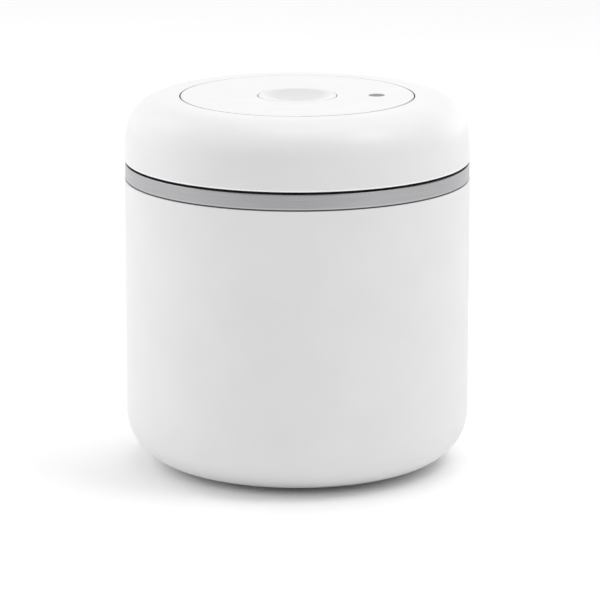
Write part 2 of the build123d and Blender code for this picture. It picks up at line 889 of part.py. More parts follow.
def make_filter_plate():
    """The cover under the core, with a deeper cup round the release valve."""
    rim_inner = filter_radius - filter_wall
    plate = lathe([
        (0, filter_cup_bottom),
        (filter_cup_radius, filter_cup_bottom),
        (filter_cup_radius, filter_underside),
        (filter_radius, filter_underside),
        (filter_radius, core_bottom),
        (rim_inner, core_bottom),
        (rim_inner, filter_underside + filter_wall),
        (filter_cup_radius - filter_wall, filter_underside + filter_wall),
        (filter_cup_radius - filter_wall, filter_cup_floor),
        (0, filter_cup_floor),
    ])
    opening = cylinder(filter_window_radius, filter_cup_bottom - overrun, filter_cup_floor + overrun)
    half = filter_bar_width / 2
    reach = filter_window_radius + overrun
    opening -= block(-reach, reach, -half, half, filter_cup_bottom - overrun, filter_cup_floor + overrun)
    opening -= block(-half, half, -reach, reach, filter_cup_bottom - overrun, filter_cup_floor + overrun)
    plate -= opening
    plate = fillet(rims(plate, filter_radius, filter_underside), filter_edge_round)
    return fillet(rims(plate, filter_cup_radius, filter_cup_bottom), filter_edge_round)


def make_filter_mesh():
    radius = filter_cup_radius - filter_wall - filter_mesh_clearance
    return cylinder(radius, filter_cup_floor, filter_mesh_top)


# Button, valve and indicator

def make_release_button():
    bottom = total_height - button_height
    cap = cylinder(button_radius, bottom, total_height)
    cap -= cylinder(button_radius - button_wall, bottom - overrun, button_ceiling)
    dish_half = button_radius - button_rim_width
    dish_radius = (dish_half ** 2 + button_dish_depth ** 2) / (2 * button_dish_depth)
    cap -= Pos(0, 0, total_height - button_dish_depth + dish_radius) * Sphere(dish_radius)
    boss_bottom = button_ceiling - button_boss_height
    cap += cylinder(button_boss_radius, boss_bottom, button_ceiling)
    cap -= cylinder(stem_radius + stem_fit, boss_bottom - overrun, boss_bottom + button_socket_depth)
    return fillet(rims(cap, button_radius, total_height), button_edge_round)


def make_valve_stem():
    top = button_ceiling - button_boss_height + button_socket_depth
    return cylinder(stem_radius, stem_bottom, top)


def make_valve_seal():
    """The soft disc that closes the hole in the core's floor, with a thinner lip."""
    lip_bottom = core_bottom - seal_thickness + seal_lip_drop
    return lathe([
        (stem_radius + stem_fit, core_bottom),
        (seal_radius, core_bottom),
        (seal_radius, lip_bottom),
        (seal_radius - seal_lip_width, seal_bottom),
        (stem_radius + stem_fit, seal_bottom),
    ])


def make_stem_clip():
    clip = tube(clip_radius, stem_radius + stem_fit, clip_bottom, seal_bottom)
    half = clip_slot / 2
    return clip - block(0, clip_radius + overrun, -half, half, clip_bottom - overrun, core_bottom)


def make_indicator_pin():
    head = cylinder(indicator_radius, indicator_head_bottom, indicator_top, indicator_circle)
    return head + cylinder(indicator_stem_radius, diaphragm_top, indicator_head_bottom, indicator_circle)


def make_diaphragm():
    return cylinder(diaphragm_radius, diaphragm_bottom, diaphragm_top, indicator_circle)


# Springs and screws

def coil_spring(coil_radius, wire, coils, bottom, top, x=0):
    """A compression spring between two flat seats."""
    height = top - bottom - 2 * wire
    line = Helix(height / coils, height, coil_radius)
    section = Plane(line @ 0, z_dir=line % 0) * Circle(wire)
    return Pos(x, 0, bottom + wire) * sweep(section, line)


def make_button_spring():
    return coil_spring(button_coil_radius, button_wire, button_coils, tube_top, button_ceiling)


def make_indicator_spring():
    return coil_spring(
        indicator_coil_radius, indicator_wire, indicator_coils,
        guide_seat_top, indicator_head_bottom, indicator_circle,
    )


def screw():
    """A pan screw along +Z, its head's underside at zero and its shank above."""
    head = Pos(0, 0, -screw_head_height) * extrude(Circle(screw_head_radius), screw_head_height)
    shank = extrude(Circle(screw_radius), screw_length)
    socket = extrude(RegularPolygon(screw_socket_radius, hex_sides), screw_socket_depth)
    return head + shank - Pos(0, 0, -screw_head_height) * socket


def make_ring_screws():
    x, y = polar(ring_boss_circle, ring_boss_angle)
    return around(Pos(x, y, plate_bottom) * screw(), core_boss_count)


def make_disc_screws():
    x, y = polar(disc_post_circle, disc_post_angle)
    return around(Pos(x, y, deck_bottom) * screw(), disc_post_count)


def make_deck_screws():
    x, y = polar(core_boss_circle, core_boss_angle)
    return around(Pos(x, y, deck_top) * Rot(X=half_turn) * screw(), core_boss_count)


def make_cap_screws():
    lying = Rot(X=right_angle) * screw()
    screws = []
    for x in ear_places():
        screws += both_sides(Pos(x, cap_end, pump_height) * lying)
    return screws


def write(node, shape):
    solids = shape if isinstance(shape, list) else [shape]
    export_step(Compound(children=[Part(solid.wrapped) for solid in solids]), f"parts/{node}.step")


def main():
    os.makedirs("parts", exist_ok=True)
    write("canister_shell", make_canister_shell())
    write("rim_collar", make_rim_collar())
    write("foot_ring", make_foot_ring())
    write("core_housing", make_core_housing())
    write("main_gasket", make_main_gasket())
    write("pump_deck", make_pump_deck())
    write("top_disc", make_top_disc())
    write("glide_ring", make_glide_ring())
    write("cylinder_back", make_cylinder())
    write("cylinder_front", half_round(make_cylinder()))
    write("cylinder_caps", both_sides(make_cylinder_cap()))
    write("cap_gaskets", both_sides(make_cap_gasket()))
    write("cap_screws", make_cap_screws())
    write("inlet_valves", both_sides(make_inlet_valve()))
    write("exhaust_valves", both_sides(make_exhaust_valve()))
    write("filter_plate", make_filter_plate())
    write("filter_mesh", make_filter_mesh())
    write("deck_screws", make_deck_screws())
    write("disc_screws", make_disc_screws())
    write("button_spring", make_button_spring())
    write("indicator_spring", make_indicator_spring())
    write("indicator_diaphragm", make_diaphragm())
    write("twist_ring", make_twist_ring())
    write("drive_plate", make_drive_plate())
    write("drive_pinion", make_drive_pinion())
    write("ring_screws", make_ring_screws())
    write("release_button", make_release_button())
    write("valve_stem", make_valve_stem())
    write("valve_seal", make_valve_seal())
    write("stem_clip", make_stem_clip())
    write("indicator_pin", make_indicator_pin())
    write("piston_back", make_piston())
    write("piston_front", half_round(make_piston()))
    write("piston_seal_back", make_piston_seal())
    write("piston_seal_front", half_round(make_piston_seal()))


main()
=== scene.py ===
import bmesh
import bpy
import math
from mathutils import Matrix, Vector


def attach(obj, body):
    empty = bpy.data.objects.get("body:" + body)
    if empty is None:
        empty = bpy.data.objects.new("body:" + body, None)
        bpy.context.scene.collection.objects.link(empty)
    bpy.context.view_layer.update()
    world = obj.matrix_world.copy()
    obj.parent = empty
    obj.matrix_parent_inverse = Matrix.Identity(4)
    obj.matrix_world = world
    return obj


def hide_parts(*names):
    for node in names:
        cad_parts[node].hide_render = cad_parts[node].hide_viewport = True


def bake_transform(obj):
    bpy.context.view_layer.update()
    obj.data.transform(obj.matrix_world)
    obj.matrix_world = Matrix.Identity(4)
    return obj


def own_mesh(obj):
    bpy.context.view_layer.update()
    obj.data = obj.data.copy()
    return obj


# A white food canister with a twist-to-pump lid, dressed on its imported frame.
# Sizes are in millimetres in the object's own frame, and metres in the scene.

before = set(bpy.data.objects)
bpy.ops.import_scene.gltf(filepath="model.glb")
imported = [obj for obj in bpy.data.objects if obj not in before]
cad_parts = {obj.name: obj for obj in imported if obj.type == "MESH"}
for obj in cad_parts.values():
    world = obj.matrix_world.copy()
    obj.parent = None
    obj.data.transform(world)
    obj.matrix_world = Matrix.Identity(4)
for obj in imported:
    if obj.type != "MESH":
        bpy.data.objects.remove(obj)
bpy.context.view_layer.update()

mm = 0.001
half_turn = 180.0
full_turn = 360.0
right_angle = 90.0
nearly = 1e-6

# Canister
body_radius = 62.5
total_height = 135.0
seam_height = 111.7
collar_top = 111.1
band_bottom = 105.7
shell_top = 105.2
shell_wall = 0.9
foot_corner_radius = 18.0
foot_crown_radius = 90.0
foot_crown_turn = 9.0
base_lift = 0.6
base_flat_width = 2.25
base_panel_rise = 1.0
shell_rim_round = 0.25
base_step_round = 0.3
foot_ring_width = 11.0
foot_ring_round = 0.4
seat_clearance = 0.05

# Steel collar
collar_radius = 62.25
collar_neck_radius = 62.0
collar_wall = 1.0
mouth_radius = 57.6
mouth_lip_depth = 12.0
spigot_depth = 8.0
collar_round = 0.2
collar_under_round = 0.2
# Height of the painted highlight on the band's lower edge
band_highlight_height = 0.45
mouth_round = 0.6

# Lid ring
ring_wall = 2.2
ring_side_radius = 75.0
ring_side_turn = 9.0
ring_crown_radius = 18.3
ring_crown_turn = 15.0
ring_hole_radius = 42.5
ring_foot_round = 0.7
ring_foot_lift = 0.25
ring_hem_depth = 4.0
ring_hem_wall = 1.4
ring_boss_circle = 50.0
ring_boss_radius = 3.4
ring_boss_angle = 20.0
ring_boss_count = 4
ring_boss_top = 131.5
plate_top = 117.1

# Top disc and button
disc_radius = 42.1
disc_edge_round = 0.15
disc_edge_lit = 0.04
disc_sharp_angle = 12.0
button_radius = 14.1
button_height = 9.0
button_wall = 1.4
button_crown = 2.8
button_dish_depth = 1.3
button_rim_width = 1.2
button_edge_round = 0.15
button_lip_round = 0.6
button_boss_radius = 3.3
button_boss_height = 7.5
button_socket_radius = 1.52
button_socket_depth = 6.0
# Painted shade in the button's dish: how far its darkest spot lies behind the middle, and where it fades out
button_shade_shift = 4.0
button_shade_inner = 8.0
button_shade_outer = 14.0

# Indicator
indicator_circle = 28.6
indicator_radius = 2.92
indicator_top = 134.95
indicator_head_bottom = 118.75
indicator_stem_radius = 1.4
indicator_stem_bottom = 109.0
indicator_edge_round = 0.08
diaphragm_radius = 5.6
diaphragm_bottom = 108.4
diaphragm_top = 109.0
diaphragm_pad_radius = 3.0
diaphragm_web_inner = 3.05
diaphragm_web_outer = 3.35
diaphragm_rim_inner = 3.4
diaphragm_web_steps = 12

# Gasket
gasket_inner = 56.05
gasket_sleeve = 56.9
gasket_flange = 59.7
gasket_flange_top = 112.3
gasket_sleeve_depth = 9.0
gasket_rim = 61.9
gasket_rim_height = 0.6
gasket_lip_radius = 57.3
gasket_lip_half = 0.6
gasket_lip_count = 3
gasket_round = 0.15

# Filter
mesh_radius = 8.4
mesh_middle = 62.9
mesh_wire = 0.1
mesh_wave = 0.09
mesh_pitch = 0.7
mesh_steps_per_pitch = 2
wire_sides = 6

# Fineness of turned forms
turn_steps = 240
small_turn_steps = 96
arc_step = 3.0
fine_arc_step = 0.75
corner_step = 15.0
support = 0.35
sharp_angle = 40.0


# Outlines of turned forms, as (radius, height) points

def arc(centre, radius, start, end, step=arc_step):
    """Points on an arc between two angles in degrees from the radial direction."""
    count = max(2, math.ceil(abs(end - start) / step))
    points = []
    for index in range(count + 1):
        turn = math.radians(start + (end - start) * index / count)
        points.append((centre[0] + radius * math.cos(turn), centre[1] + radius * math.sin(turn)))
    return points


def corner_arc(before, corner, after, radius):
    """The points that round a corner of an outline."""
    middle = Vector(corner)
    to_before = (Vector(before) - middle).normalized()
    to_after = (Vector(after) - middle).normalized()
    half = to_before.angle(to_after) / 2
    first = middle + to_before * (radius / math.tan(half))
    last = middle + to_after * (radius / math.tan(half))
    centre = middle + (to_before + to_after).normalized() * (radius / math.sin(half))
    start = math.degrees(math.atan2(first.y - centre.y, first.x - centre.x))
    turn = math.degrees(math.atan2(last.y - centre.y, last.x - centre.x)) - start
    turn = (turn + half_turn) % full_turn - half_turn
    return arc(centre, radius, start, start + turn, corner_step)


def rounded(corners):
    """An outline from (radius, height, round) corners, its two ends left as they are."""
    points = [corners[0][:2]]
    for before, corner, after in zip(corners, corners[1:], corners[2:]):
        if corner[2] > 0:
            points += corner_arc(before[:2], corner[:2], after[:2], corner[2])
        else:
            points.append(corner[:2])
    return points + [corners[-1][:2]]


def supported(points):
    """The outline with extra points near both ends of its long runs, so that rounds shade cleanly."""
    result = [points[0]]
    for start, end in zip(points, points[1:]):
        run = Vector(end) - Vector(start)
        if run.length < nearly:
            continue
        if run.length > 4 * support:
            step = run.normalized() * support
            result += [tuple(Vector(start) + step), tuple(Vector(end) - step)]
        result.append(end)
    return result


# Mesh helpers

def ring_points(mesh, point, centre, steps):
    """One ring of vertices, or a single vertex on the axis."""
    radius, height = point
    if radius < nearly:
        return [mesh.verts.new((centre[0] * mm, centre[1] * mm, height * mm))]
    ring = []
    for index in range(steps):
        turn = math.radians(full_turn * index / steps)
        x, y = centre[0] + radius * math.cos(turn), centre[1] + radius * math.sin(turn)
        ring.append(mesh.verts.new((x * mm, y * mm, height * mm)))
    return ring


def join_rings(mesh, low, high, material):
    count = max(len(low), len(high))
    for index in range(count):
        corners = [low[index % len(low)], low[(index + 1) % len(low)]]
        corners += [high[(index + 1) % len(high)], high[index % len(high)]]
        unique = list(dict.fromkeys(corners))
        if len(unique) > 2:
            mesh.faces.new(unique).material_index = material


def turned(mesh, points, centre=(0, 0), steps=turn_steps, closed=False, material=0):
    """Turns an outline about an upright axis, into quads."""
    outline = supported(points + points[:1] if closed else points)
    if closed:
        outline = outline[:-1]
    rings = [ring_points(mesh, point, centre, steps) for point in outline]
    for low, high in zip(rings, rings[1:]):
        join_rings(mesh, low, high, material)
    if closed:
        join_rings(mesh, rings[-1], rings[0], material)
    return rings


def paint_faces(mesh, material, chosen):
    """Gives another material to the faces whose distance from the axis and height are chosen."""
    for face in mesh.faces:
        middle = face.calc_center_median() / mm
        if chosen(middle.xy.length, middle.z):
            face.material_index = material


def make_piece(name, mesh, body, slot, nodes, more_finishes=(), angle=sharp_angle):
    """Turns a mesh in the making into a piece that stands for CAD nodes and rides a body, if it has one."""
    bmesh.ops.recalc_face_normals(mesh, faces=mesh.faces)
    data = bpy.data.meshes.new(name)
    mesh.to_mesh(data)
    mesh.free()
    data.polygons.foreach_set("use_smooth", [True] * len(data.polygons))
    data.set_sharp_from_angle(angle=math.radians(angle))
    for finish in (slot, *more_finishes):
        data.materials.append(finishes[finish])
    piece = bpy.data.objects.new(name, data)
    bpy.context.scene.collection.objects.link(piece)
    if body:
        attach(piece, body)
    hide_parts(*nodes)
    return piece


# Materials

# The shares of red, green and blue in a tone
plain_cast = (1.0, 1.0, 1.0)
band_cast = (1.0, 0.993, 1.028)
inner_cast = (1.0, 1.0, 1.005)
steel_cast = (0.99, 1.0, 1.01)
smoke_cast = (0.98, 1.0, 1.02)
slick_cast = (0.97, 1.0, 1.03)

# The part of a noise's range that is spread over a tone or a gloss
noise_low = 0.3
noise_high = 0.7

# How far noise is drawn out round the axis on brushed steel, and along it
brush_lines = (70, 70, 9000)
brush_gloss = (40, 40, 3500)

# The noise in each surface's tone and gloss, as (features to the metre, detail, stretch by axis),
# and its reliefs, each with a depth in millimetres
surfaces = {
    "powder_coat": ((45, 2.0), (160, 3.0), [((900, 2.0), 0.02), ((4200, 2.0), 0.004)]),
    "satin_plastic": ((60, 2.0), (220, 3.0), [((2600, 3.0), 0.006), ((90, 2.0), 0.02)]),
    "moulded_plastic": ((120, 3.0), (400, 2.0), [((3000, 2.0), 0.006)]),
    "clear_plastic": ((200, 3.0), (600, 2.0), [((1500, 2.0), 0.004)]),
    "rubber": ((500, 3.0), (800, 3.0), [((3500, 3.0), 0.01)]),
    "brushed_steel": ((1.0, 4.0, brush_lines), (1.0, 2.0, brush_gloss), [((1.0, 4.0, brush_lines), 0.003)]),
    "drawn_steel": ((350, 3.0), (900, 2.0), [((5000, 2.0), 0.002)]),
}
metals = ("brushed_steel", "drawn_steel")

# Each finish's surface, darkest and lightest tone, lowest and highest roughness, and cast
recipes = {
    "white_paint": ("powder_coat", (0.775, 0.80), (0.46, 0.56), plain_cast),
    "bare_steel": ("brushed_steel", (0.38, 0.436), (0.26, 0.38), band_cast),
    # A lighter copy of the band's steel: a painted highlight on the band's lower edge
    "band_painted_highlight": ("brushed_steel", (0.455, 0.5), (0.26, 0.38), band_cast),
    "inner_steel": ("brushed_steel", (0.76, 0.84), (0.34, 0.46), inner_cast),
    # A near-black colour: painted shade in the recessed joint under the band
    "joint_painted_shade": ("moulded_plastic", (0.06, 0.09), (0.55, 0.67), plain_cast),
    "lid_plastic": ("satin_plastic", (0.785, 0.805), (0.34, 0.44), plain_cast),
    # A lighter, glossier copy of the lid plastic: a painted highlight on the lid's lower edge
    "lid_painted_highlight": ("satin_plastic", (0.97, 0.99), (0.34, 0.44), plain_cast),
    # A darker copy of the lid plastic: painted shade on the walls down in the groove round the disc
    "groove_painted_shade": ("moulded_plastic", (0.33, 0.38), (0.55, 0.67), plain_cast),
    "indicator_plastic": ("moulded_plastic", (0.19, 0.22), (0.40, 0.52), plain_cast),
    "white_plastic": ("moulded_plastic", (0.70, 0.75), (0.37, 0.49), plain_cast),
    "grey_plastic": ("moulded_plastic", (0.30, 0.34), (0.40, 0.52), plain_cast),
    "clear_grey_plastic": ("clear_plastic", (0.42, 0.5), (0.18, 0.3), smoke_cast),
    "slick_plastic": ("moulded_plastic", (0.62, 0.68), (0.25, 0.37), slick_cast),
    "grey_silicone": ("rubber", (0.18, 0.22), (0.55, 0.72), plain_cast),
    "black_silicone": ("rubber", (0.006, 0.01), (0.55, 0.72), plain_cast),
    "screw_steel": ("drawn_steel", (0.5, 0.62), (0.25, 0.38), steel_cast),
    "spring_steel": ("drawn_steel", (0.42, 0.52), (0.20, 0.33), steel_cast),
    "mesh_steel": ("drawn_steel", (0.55, 0.66), (0.25, 0.38), steel_cast),
}

# What else a finish sets on its shader
shader_values = {
    # The painted highlight on the lid's edge is made glossier too
    "lid_painted_highlight": {"Specular IOR Level": 1.0},
    "clear_grey_plastic": {"Transmission Weight": 0.35},
    "grey_silicone": {"Sheen Weight": 0.15, "Specular IOR Level": 0.25},
    "black_silicone": {"Specular IOR Level": 0.1},
}
# Tones of the painted shade in the button's dish, darkest first
button_tones = (0.67, 0.79)
button_gloss = (0.34, 0.44)


class Finish:
    """A material in the making: one shader and the textures that feed it."""

    def __init__(self, name):
        self.material = bpy.data.materials.new("finish_" + name)
        self.material.use_nodes = True
        self.nodes = self.material.node_tree.nodes
        self.links = self.material.node_tree.links
        self.shader = self.nodes["Principled BSDF"]
        self.place = self.nodes.new("ShaderNodeTexCoord").outputs["Object"]
        self.last_bump = None

    def noise(self, scale, detail, stretch=(1, 1, 1)):
        """Noise of so many features to the metre, stretched by axis."""
        mapping = self.nodes.new("ShaderNodeMapping")
        mapping.inputs["Scale"].default_value = stretch
        texture = self.nodes.new("ShaderNodeTexNoise")
        texture.inputs["Scale"].default_value = scale
        texture.inputs["Detail"].default_value = detail
        self.links.new(self.place, mapping.inputs["Vector"])
        self.links.new(mapping.outputs["Vector"], texture.inputs["Vector"])
        return texture.outputs["Fac"]

    def colour(self, factor, low, high, start=noise_low, end=noise_high):
        """Base colour between two tones, led by a texture."""
        ramp = self.nodes.new("ShaderNodeValToRGB")
        ramp.color_ramp.elements[0].position = start
        ramp.color_ramp.elements[1].position = end
        ramp.color_ramp.elements[0].color = (*low, 1)
        ramp.color_ramp.elements[1].color = (*high, 1)
        self.links.new(factor, ramp.inputs["Fac"])
        self.links.new(ramp.outputs["Color"], self.shader.inputs["Base Color"])

    def roughness(self, factor, low, high):
        """Roughness between two values, led by a texture."""
        span = self.nodes.new("ShaderNodeMapRange")
        span.inputs["From Min"].default_value = noise_low
        span.inputs["From Max"].default_value = noise_high
        span.inputs["To Min"].default_value = low
        span.inputs["To Max"].default_value = high
        self.links.new(factor, span.inputs["Value"])
        self.links.new(span.outputs["Result"], self.shader.inputs["Roughness"])

    def bump(self, factor, depth):
        """Relief of this depth in millimetres, over any relief added before."""
        bump = self.nodes.new("ShaderNodeBump")
        bump.inputs["Distance"].default_value = depth * mm
        bump.inputs["Strength"].default_value = 1.0
        self.links.new(factor, bump.inputs["Height"])
        if self.last_bump:
            self.links.new(self.last_bump, bump.inputs["Normal"])
        self.last_bump = bump.outputs["Normal"]
        self.links.new(self.last_bump, self.shader.inputs["Normal"])


def tone(value, cast=plain_cast):
    """A grey of this value with a faint cast."""
    return tuple(value * part for part in cast)


def make_finish(name):
    """A finish whose tone, gloss and relief all come from noise."""
    surface, tones, gloss, cast = recipes[name]
    tone_noise, gloss_noise, reliefs = surfaces[surface]
    finish = Finish(name)
    finish.colour(finish.noise(*tone_noise), tone(tones[0], cast), tone(tones[1], cast))
    finish.roughness(finish.noise(*gloss_noise), *gloss)
    for relief, depth in reliefs:
        finish.bump(finish.noise(*relief), depth)
    finish.shader.inputs["Metallic"].default_value = 1.0 if surface in metals else 0.0
    for value_name, value in shader_values.get(name, {}).items():
        finish.shader.inputs[value_name].default_value = value
    return finish.material


def make_button_finish():
    """The lid's plastic, greyer in the dish with painted shade, darkest a little behind its middle."""
    gloss_noise, reliefs = surfaces["satin_plastic"][1:]
    finish = Finish("button_plastic")
    # Painted shade: darkest a little behind the dish's middle, lighter outwards
    shift = finish.nodes.new("ShaderNodeVectorMath")
    shift.operation = "SUBTRACT"
    shift.inputs[1].default_value = Vector((0, button_shade_shift, 0)) * mm
    flat = finish.nodes.new("ShaderNodeVectorMath")
    flat.operation = "MULTIPLY"
    flat.inputs[1].default_value = (1, 1, 0)
    reach = finish.nodes.new("ShaderNodeVectorMath")
    reach.operation = "LENGTH"
    span = finish.nodes.new("ShaderNodeMapRange")
    span.interpolation_type = "SMOOTHSTEP"
    span.inputs["From Min"].default_value = button_shade_inner * mm
    span.inputs["From Max"].default_value = button_shade_outer * mm
    finish.links.new(finish.place, shift.inputs[0])
    finish.links.new(shift.outputs["Vector"], flat.inputs[0])
    finish.links.new(flat.outputs["Vector"], reach.inputs[0])
    finish.links.new(reach.outputs["Value"], span.inputs["Value"])
    finish.colour(span.outputs["Result"], tone(button_tones[0]), tone(button_tones[1]), 0.0, 1.0)
    finish.roughness(finish.noise(*gloss_noise), *button_gloss)
    relief, depth = reliefs[0]
    finish.bump(finish.noise(*relief), depth)
    return finish.material


finishes = {name: make_finish(name) for name in recipes}
finishes["button_plastic"] = make_button_finish()


# Canister

def make_shell():
    crown_shift = (foot_crown_radius - foot_corner_radius) * math.sin(math.radians(foot_crown_turn))
    crown_circle = body_radius - foot_corner_radius - crown_shift
    crown_centre = (crown_circle, base_lift + foot_crown_radius)
    slope = math.radians(right_angle - foot_crown_turn)
    corner_height = crown_centre[1] - (foot_crown_radius - foot_corner_radius) * math.sin(slope)
    corner_centre = (body_radius - foot_corner_radius, corner_height)
    corner_end = foot_crown_turn - right_angle

    def foot(inset):
        """The curved foot from the base's flat to the side, moved in by an inset."""
        crown = arc(crown_centre, foot_crown_radius - inset, -right_angle, corner_end, fine_arc_step)
        return crown[:-1] + arc(corner_centre, foot_corner_radius - inset, corner_end, 0)

    panel = crown_circle - base_flat_width
    panel_height = base_lift + base_panel_rise
    outside = rounded([(0, panel_height, 0), (panel, panel_height, 0), (panel, base_lift, base_step_round),
                       (crown_circle, base_lift, 0)])[:-1]
    outside += foot(0)
    rim = rounded([(body_radius, corner_height, 0), (body_radius, shell_top, shell_rim_round),
                   (body_radius - shell_wall, shell_top, shell_rim_round),
                   (body_radius - shell_wall, corner_height, 0)])[1:-1]
    inner_panel = panel + shell_wall
    inside = list(reversed(foot(shell_wall)))
    inside += [(inner_panel, base_lift + shell_wall), (inner_panel, panel_height + shell_wall)]
    inside.append((0, panel_height + shell_wall))
    mesh = bmesh.new()
    turned(mesh, outside + rim)
    turned(mesh, rim[-1:] + inside, material=1)
    bmesh.ops.remove_doubles(mesh, verts=mesh.verts, dist=nearly)
    make_piece("shell_body", mesh, "canister", "white_paint", ["canister_shell"], ["inner_steel"])


def make_collar():
    spigot = body_radius - shell_wall - seat_clearance
    lip_outer = mouth_radius + collar_wall
    lip_bottom = collar_top - mouth_lip_depth
    under_top = collar_top - collar_wall
    spigot_bottom = shell_top - spigot_depth
    corners = [
        (mouth_radius, lip_bottom + collar_wall, 0),
        (mouth_radius, collar_top, mouth_round),
        (collar_radius, collar_top, collar_round),
        (collar_radius, band_bottom, collar_under_round),
        (collar_neck_radius, band_bottom, 0),
        (collar_neck_radius, shell_top, 0),
        (spigot, shell_top, 0),
        (spigot, spigot_bottom, collar_under_round),
        (spigot - collar_wall, spigot_bottom, collar_under_round),
        (spigot - collar_wall, under_top, 0),
        (lip_outer, under_top, 0),
        (lip_outer, lip_bottom, collar_under_round),
        (mouth_radius, lip_bottom, collar_under_round),
        (mouth_radius, lip_bottom + collar_wall, 0),
    ]
    mesh = bmesh.new()
    turned(mesh, rounded(corners)[:-1], closed=True)
    neck, highlight_top = collar_neck_radius + nearly, band_bottom + band_highlight_height
    # The recessed neck under the band gets painted shade
    paint_faces(mesh, 1, lambda across, height: across < neck and shell_top < height < band_bottom)
    # The band's lower edge gets a painted highlight
    paint_faces(mesh, 2, lambda across, height: across > neck and height < highlight_top)
    make_piece("steel_collar", mesh, "canister", "bare_steel", ["rim_collar"], ["joint_painted_shade", "band_painted_highlight"])


def make_foot():
    crown_shift = (foot_crown_radius - foot_corner_radius) * math.sin(math.radians(foot_crown_turn))
    outer = body_radius - foot_corner_radius - crown_shift - base_flat_width - seat_clearance
    inner = outer - foot_ring_width
    top = base_lift + base_panel_rise
    corners = [
        (outer, top / 2, 0),
        (outer, top, 0),
        (inner, top, 0),
        (inner, 0, foot_ring_round),
        (outer, 0, foot_ring_round),
        (outer, top / 2, 0),
    ]
    mesh = bmesh.new()
    turned(mesh, rounded(corners)[:-1], closed=True)
    make_piece("soft_foot", mesh, "canister", "grey_silicone", ["foot_ring"])


# Lid ring

def ring_arcs(inset):
    """The lid's side, corner and crown, moved in by an inset, from the seam up."""
    lid_rise = total_height - seam_height
    side, crown = math.radians(ring_side_turn), math.radians(ring_crown_turn)
    rise = lid_rise - ring_side_radius * math.sin(side) - ring_crown_radius * (1 - math.cos(crown))
    corner_radius = rise / (math.cos(crown) - math.sin(side))
    corner_end = right_angle - ring_crown_turn
    side_centre = (body_radius - ring_side_radius, seam_height)
    side_shift = ring_side_radius - corner_radius
    corner_centre = (
        side_centre[0] + side_shift * math.cos(side),
        side_centre[1] + side_shift * math.sin(side),
    )
    crown_shift = ring_crown_radius - corner_radius
    crown_centre = (
        corner_centre[0] - crown_shift * math.sin(crown),
        corner_centre[1] - crown_shift * math.cos(crown),
    )
    points = arc(side_centre, ring_side_radius - inset, 0, ring_side_turn, fine_arc_step)[:-1]
    points += arc(corner_centre, corner_radius - inset, ring_side_turn, corner_end)[:-1]
    return points + arc(crown_centre, ring_crown_radius - inset, corner_end, right_angle, arc_step / 2)


def make_ring():
    ring_foot = seam_height + ring_foot_lift
    outer = [point for point in ring_arcs(0) if point[1] > ring_foot + ring_foot_round]
    inner = list(reversed(ring_arcs(ring_wall)))
    foot = rounded([
        (body_radius - ring_wall, seam_height + ring_wall, 0),
        (body_radius - ring_wall, ring_foot, ring_foot_round / 2),
        (body_radius, ring_foot, ring_foot_round),
        (body_radius, seam_height + ring_wall, 0),
    ])[1:-1]
    hem_outer = ring_hole_radius + ring_hem_wall
    under = total_height - ring_wall
    hem = rounded([
        (hem_outer + ring_wall, total_height, 0),
        (ring_hole_radius, total_height, disc_edge_round),
        (ring_hole_radius, under - ring_hem_depth, disc_edge_round),
        (hem_outer, under - ring_hem_depth, disc_edge_round),
        (hem_outer, under, 0),
        (hem_outer + ring_wall, under, 0),
    ])[1:-1]
    mesh = bmesh.new()
    turned(mesh, foot + outer + hem + inner[:-1], closed=True)
    foot_side, foot_top = body_radius - ring_foot_round, ring_foot + ring_foot_round
    hole_side, wall_top = ring_hole_radius + nearly, total_height - disc_edge_round
    # The round on the lid's lower edge gets a painted highlight
    paint_faces(mesh, 1, lambda across, height: across > foot_side and height < foot_top)
    # The wall of the hole, down in the groove round the disc, gets painted shade
    paint_faces(mesh, 2, lambda across, height: across < hole_side and height < wall_top)
    boss = [
        (0, plate_top),
        (ring_boss_radius, plate_top),
        (ring_boss_radius, ring_boss_top),
        (0, ring_boss_top),
    ]
    for index in range(ring_boss_count):
        turn = math.radians(ring_boss_angle + full_turn * index / ring_boss_count)
        centre = (ring_boss_circle * math.cos(turn), ring_boss_circle * math.sin(turn))
        turned(mesh, boss, centre, small_turn_steps)
    make_piece("lid_ring", mesh, "twist", "lid_plastic", ["twist_ring"], ["lid_painted_highlight", "groove_painted_shade"])


# Top disc

def make_disc():
    """The disc keeps its CAD form, with painted shade on its wall down in the groove."""
    wall_side, wall_top = disc_radius - 2 * disc_edge_round, total_height - disc_edge_lit
    disc = smooth_copy("lid_disc", "top_disc", "lid_core", "lid_plastic", disc_sharp_angle)
    disc.data.materials.append(finishes["groove_painted_shade"])
    for face in disc.data.polygons:
        middle = face.center / mm
        if middle.xy.length > wall_side and middle.z < wall_top:
            face.material_index = 1


# Button and indicator

